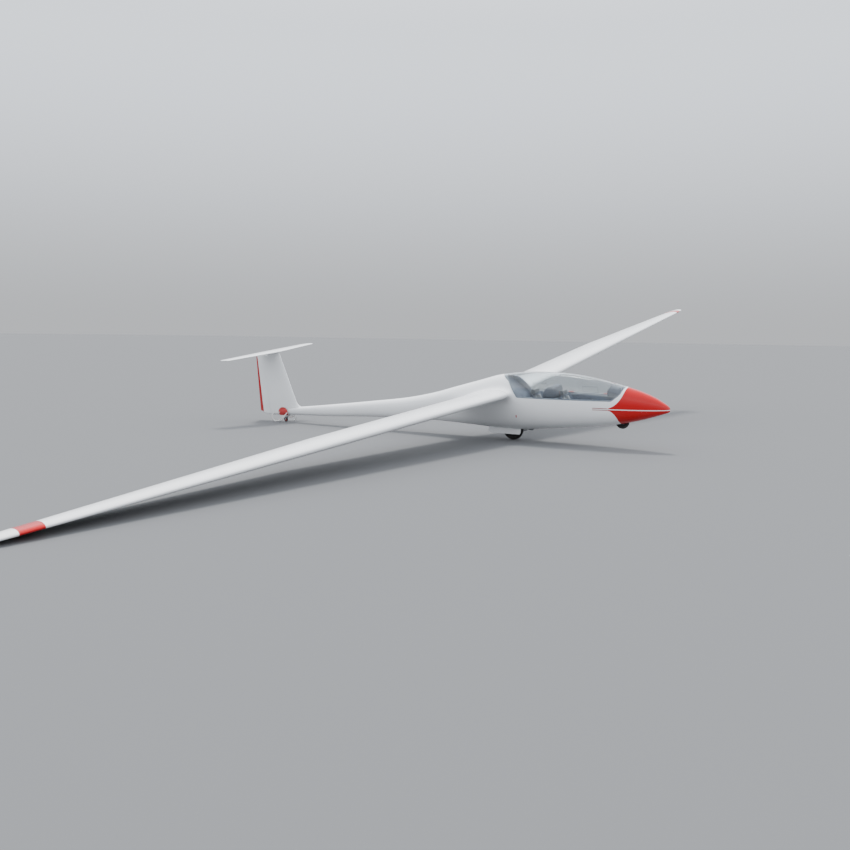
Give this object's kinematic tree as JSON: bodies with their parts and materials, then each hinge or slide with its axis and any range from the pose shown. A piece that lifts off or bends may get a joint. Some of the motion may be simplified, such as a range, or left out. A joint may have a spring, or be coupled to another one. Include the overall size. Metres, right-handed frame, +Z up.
{
  "type": "two-seat sailplane glider",
  "caption": "White two-seat T-tail sailplane with a long side-hinged canopy, parked on its main wheel, a clamped tail dolly and one wing tip.",
  "frame": {"origin": "middle of the parked glider's box, on the ground", "axes": "+X aft, +Y towards the right wing, +Z up, as aircraft stations are counted; the glider leans 7.2 degrees onto its right wing tip and sits tail low"},
  "size_m": [8.6166, 19.8458, 2.5775],
  "materials": {
    "gelcoat": "gloss",
    "canopy_rim": "gloss",
    "canopy_sheet": "gloss",
    "cockpit_trim": "matte",
    "black_trim": "matte",
    "upholstery": "matte",
    "tyre": "matte",
    "wheel_rim": "satin",
    "gear_steel": "satin",
    "bare_metal": "satin",
    "felt": "matte",
    "dolly_red": "satin",
    "dolly_white": "satin"
  },
  "bodies": {
    "airframe": {"fuselage_left": "gelcoat", "fuselage_right": "gelcoat", "tailplane": "gelcoat", "wing_left": "gelcoat", "wing_right": "gelcoat", "rear_bulkhead": "cockpit_trim", "seat_rear": "cockpit_trim", "seat_front": "cockpit_trim", "headrest_rear": "upholstery", "headrest_front": "upholstery", "instrument_pod_rear": "black_trim", "instrument_pod_front": "black_trim", "stick_rear": "black_trim", "stick_front": "black_trim", "rudder_pedals": "bare_metal", "side_liner_left": "cockpit_trim", "side_liner_right": "cockpit_trim", "main_gear_frame": "gear_steel", "nose_wheel_frame": "gear_steel", "gear_door_left": "gelcoat", "gear_door_right": "gelcoat", "tow_hook": "gear_steel", "dolly_felt": "felt", "dolly_shell": "dolly_red", "dolly_frame": "dolly_white"},
    "canopy": {"canopy_frame": "canopy_rim", "canopy_glass": "canopy_sheet"},
    "rudder": {"rudder": "gelcoat"},
    "elevator": {"elevator": "gelcoat"},
    "flap_left": {"flap_left": "gelcoat"},
    "flap_right": {"flap_right": "gelcoat"},
    "aileron_left": {"aileron_left": "gelcoat"},
    "aileron_right": {"aileron_right": "gelcoat"},
    "airbrake_left": {"airbrake_left": "bare_metal"},
    "airbrake_right": {"airbrake_right": "bare_metal"},
    "main_wheel": {"main_wheel_tyre": "tyre", "main_wheel_hub": "wheel_rim"},
    "nose_wheel": {"nose_wheel_tyre": "tyre", "nose_wheel_hub": "wheel_rim"},
    "dolly_fork": {"dolly_fork": "gear_steel"},
    "dolly_wheel": {"dolly_wheel_tyre": "tyre", "dolly_wheel_hub": "dolly_red"}
  },
  "joints": [
    {"name": "canopy_hinge", "type": "hinge", "parent": "airframe", "child": "canopy", "pos_m": [-2.53334, 0.28609, 0.74731], "axis": [-1, 0, 0], "range_deg": [0, 70]},
    {"name": "rudder_hinge", "type": "hinge", "parent": "airframe", "child": "rudder", "pos_m": [3.9963, -0.1463, 0.13695], "axis": [0.0902, 0.1255, 0.988], "range_deg": [-27, 33]},
    {"name": "elevator_hinge", "type": "hinge", "parent": "airframe", "child": "elevator", "pos_m": [3.98166, 0.01657, 1.41865], "axis": [0, -0.992, 0.1261], "range_deg": [-20, 25]},
    {"name": "flap_left_hinge", "type": "hinge", "parent": "airframe", "child": "flap_left", "pos_m": [-0.77025, -0.58533, 0.8071], "axis": [-0.0277, -0.9838, 0.177], "range_deg": [-12, 7]},
    {"name": "flap_right_hinge", "type": "hinge", "parent": "airframe", "child": "flap_right", "pos_m": [-0.89709, 5.01369, 0.33391], "axis": [0.0277, -0.9968, 0.0747], "range_deg": [-12, 7]},
    {"name": "aileron_left_hinge", "type": "hinge", "parent": "airframe", "child": "aileron_left", "pos_m": [-0.89754, -5.1088, 1.62105], "axis": [-0.0965, -0.9779, 0.1856], "range_deg": [-20, 20]},
    {"name": "aileron_right_hinge", "type": "hinge", "parent": "airframe", "child": "aileron_right", "pos_m": [-1.29307, 9.09863, 0.06699], "axis": [0.0965, -0.9932, 0.0649], "range_deg": [-20, 20]},
    {"name": "airbrake_left_slide", "type": "slide", "parent": "airframe", "child": "airbrake_left", "axis": [0, 0.1733, 0.9849], "range_m": [0, 0.085]},
    {"name": "airbrake_right_slide", "type": "slide", "parent": "airframe", "child": "airbrake_right", "axis": [0, 0.0785, 0.9969], "range_m": [0, 0.085]},
    {"name": "main_wheel_spin", "type": "hinge", "parent": "airframe", "child": "main_wheel", "pos_m": [-1.53334, -0.13987, 0.18755], "axis": [0, -0.992, 0.1261], "continuous": true},
    {"name": "nose_wheel_spin", "type": "hinge", "parent": "airframe", "child": "nose_wheel", "pos_m": [-3.52034, -0.10848, 0.43456], "axis": [0, -0.992, 0.1261], "continuous": true},
    {"name": "dolly_castor_swivel", "type": "hinge", "parent": "airframe", "child": "dolly_fork", "pos_m": [3.60466, -0.15071, 0.10223], "axis": [0, 0.1261, 0.992], "continuous": true},
    {"name": "dolly_wheel_spin", "type": "hinge", "parent": "dolly_fork", "child": "dolly_wheel", "pos_m": [3.63666, -0.15777, 0.04668], "axis": [0, -0.992, 0.1261], "continuous": true}
  ],
  "couplings": [
    {"joint": "flap_right_hinge", "follows": "flap_left_hinge", "ratio": 1},
    {"joint": "aileron_right_hinge", "follows": "aileron_left_hinge", "ratio": -1},
    {"joint": "airbrake_right_slide", "follows": "airbrake_left_slide", "ratio": 1}
  ]
}
